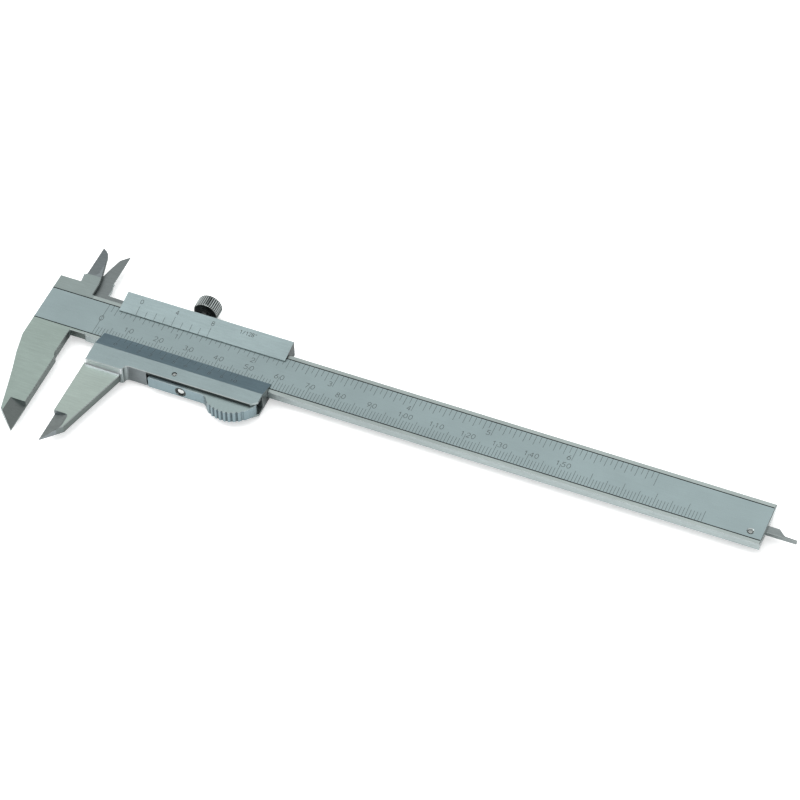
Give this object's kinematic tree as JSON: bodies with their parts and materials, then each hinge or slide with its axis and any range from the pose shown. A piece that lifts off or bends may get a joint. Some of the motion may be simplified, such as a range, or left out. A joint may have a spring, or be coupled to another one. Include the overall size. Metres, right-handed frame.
{
  "type": "vernier caliper",
  "caption": "Vernier caliper with outside and inside jaws, depth rod, thumb clamp and knurled lock screw, open a little; metric and inch scales.",
  "frame": {"origin": "centre of the bounding box's base at rest (jaws open 9.3 mm), where the lock screw's knurled rim touches the ground", "axes": "+X along the beam towards its free end, +Y across the beam towards the inside jaws, +Z out of the scale face"},
  "size_m": [0.2422, 0.0764, 0.008],
  "materials": {
    "beam": "satin chromed measuring face with fine brushed grain",
    "end_stop_plate": "fine ground",
    "end_stop_screw": "darkened steel",
    "stop_pin": "fine ground",
    "slider": "satin chromed front with ground jaws",
    "gib": "drawn phosphor bronze strip",
    "gib_screw_1": "darkened steel",
    "gib_screw_2": "darkened steel",
    "depth_rod": "fine ground",
    "rod_rivet_1": "flush ground",
    "rod_rivet_2": "flush ground",
    "lever_pin": "flush ground",
    "lever_spring": "bright spring wire",
    "thumb_lever": "satin, polished on the thumb serrations",
    "spring_screw": "polished dome",
    "clamp_shoe": "machined",
    "lock_pad": "machined",
    "lock_screw": "knurled, darkened"
  },
  "bodies": {
    "beam": {"beam": "beam", "end_stop_plate": "end_stop_plate", "end_stop_screw": "end_stop_screw", "stop_pin": "stop_pin"},
    "slider": {"slider": "slider", "gib": "gib", "gib_screw_1": "gib_screw_1", "gib_screw_2": "gib_screw_2", "depth_rod": "depth_rod", "rod_rivet_1": "rod_rivet_1", "rod_rivet_2": "rod_rivet_2", "lever_pin": "lever_pin", "lever_spring": "lever_spring"},
    "thumb_lever": {"thumb_lever": "thumb_lever", "spring_screw": "spring_screw"},
    "clamp_shoe": {"clamp_shoe": "clamp_shoe"},
    "lock_pad": {"lock_pad": "lock_pad"},
    "lock_screw": {"lock_screw": "lock_screw"}
  },
  "joints": [
    {"name": "slider_slide", "type": "slide", "parent": "beam", "child": "slider", "axis": [1, 0, 0], "range_m": [-0.0093, 0.1407]},
    {"name": "lever_pivot", "type": "hinge", "parent": "slider", "child": "thumb_lever", "pos_m": [-0.07018, -0.00335, 0.0044], "axis": [0, 0, 1], "range_deg": [0, 4.3], "stiffness_Nm_per_rad": 0.1, "springref_deg": -5.73, "deforming": ["lever_spring"]},
    {"name": "shoe_slide", "type": "slide", "parent": "slider", "child": "clamp_shoe", "axis": [0, 1, 0], "range_m": [-0.0005, 0]},
    {"name": "pad_slide", "type": "slide", "parent": "slider", "child": "lock_pad", "axis": [0, 1, 0], "range_m": [-0.00015, 0.00075]},
    {"name": "lock_turn", "type": "hinge", "parent": "lock_pad", "child": "lock_screw", "pos_m": [-0.07358, 0.02735, 0.004], "axis": [0, 1, 0], "range_deg": [-110, 542]}
  ],
  "couplings": [
    {"joint": "shoe_slide", "follows": "lever_pivot", "m_per_rad": -0.0053},
    {"joint": "lock_turn", "follows": "pad_slide", "rad_per_m": 12566}
  ]
}
